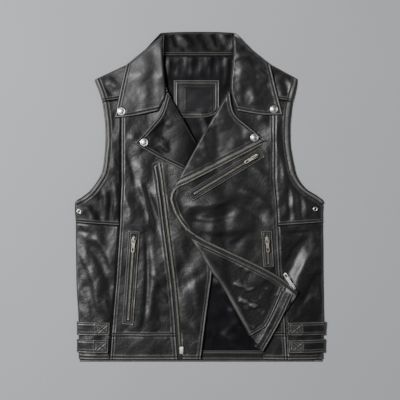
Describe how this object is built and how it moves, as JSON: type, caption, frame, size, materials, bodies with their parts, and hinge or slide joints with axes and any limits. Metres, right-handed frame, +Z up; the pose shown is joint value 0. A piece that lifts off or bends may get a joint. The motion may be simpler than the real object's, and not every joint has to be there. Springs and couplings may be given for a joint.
{
  "type": "sleeveless leather biker vest, laid flat",
  "caption": "Black leather biker vest laid flat with its front unzipped: wide collar and lapels with snaps, slanted zip, zipped pockets, side belts, one front corner turned over.",
  "frame": {"origin": "middle of the laid vest's outline, on the surface that it lies on", "axes": "+X to the right as the laid vest is looked down on with its collar away from the viewer, +Y from the hem to the collar, +Z up from the surface"},
  "size_m": [0.5041, 0.663, 0.0217],
  "materials": {
    "leather": "black waxed cowhide, soft grain, satin sheen, dark grey at worn edges",
    "lining": "black satin lining with a faint sheen",
    "zip_tape": "black woven zip tape",
    "nickel": "bright nickel plate, lightly worn",
    "aged_brass": "darkened antique brass with rubbed edges"
  },
  "bodies": {
    "garment": {"back_hem_facing": "leather", "back_lining": "lining", "back_panel": "leather", "belt_lower_left": "leather", "belt_lower_right": "leather", "belt_upper_left": "leather", "belt_upper_right": "leather", "collar": "leather", "eyelet_left": "nickel", "eyelet_right": "nickel", "front_facing": "leather", "front_left": "leather", "front_right": "leather", "hem_band_left": "leather", "hem_band_right": "leather", "hem_facing_right": "leather", "lapel_left": "leather", "lapel_right": "leather", "neck_label": "lining", "neck_patch": "leather", "pocket_chest_frame": "leather", "pocket_chest_zip": "zip_tape", "pocket_left_frame": "leather", "pocket_left_zip": "zip_tape", "pocket_right_frame": "leather", "pocket_right_zip": "zip_tape", "side_lower_left": "leather", "side_lower_right": "leather", "side_upper_left": "leather", "side_upper_right": "leather", "slider_main": "nickel", "slider_pocket_chest": "aged_brass", "slider_pocket_left": "aged_brass", "slider_pocket_right": "aged_brass", "snap_collar_left": "nickel", "snap_collar_right": "nickel", "snap_lapel_left": "nickel", "snap_lapel_right": "nickel", "underlap": "leather", "yoke_left": "leather", "yoke_right": "leather", "zip_left": "zip_tape", "zip_pin_box": "nickel", "zip_right": "zip_tape"},
    "tab_main": {"tab_main": "nickel"},
    "tab_pocket_chest": {"tab_pocket_chest": "aged_brass"},
    "tab_pocket_left": {"tab_pocket_left": "aged_brass"},
    "tab_pocket_right": {"tab_pocket_right": "aged_brass"}
  },
  "joints": [
    {"name": "tab_main_swing", "type": "hinge", "parent": "garment", "child": "tab_main", "pos_m": [0.1853, -0.1805, 0.01912], "axis": [0.8496, 0.5274, 0], "range_deg": [0, 150]},
    {"name": "tab_pocket_chest_swing", "type": "hinge", "parent": "garment", "child": "tab_pocket_chest", "pos_m": [0.1104, 0.0803, 0.01395], "axis": [-0.5193, 0.8546, 0], "range_deg": [0, 150]},
    {"name": "tab_pocket_left_swing", "type": "hinge", "parent": "garment", "child": "tab_pocket_left", "pos_m": [-0.1328, -0.086, 0.01404], "axis": [-0.9975, 0.0709, 0], "range_deg": [0, 150]},
    {"name": "tab_pocket_right_swing", "type": "hinge", "parent": "garment", "child": "tab_pocket_right", "pos_m": [0.134, -0.086, 0.01481], "axis": [-0.9984, -0.0564, 0], "range_deg": [0, 150]}
  ]
}
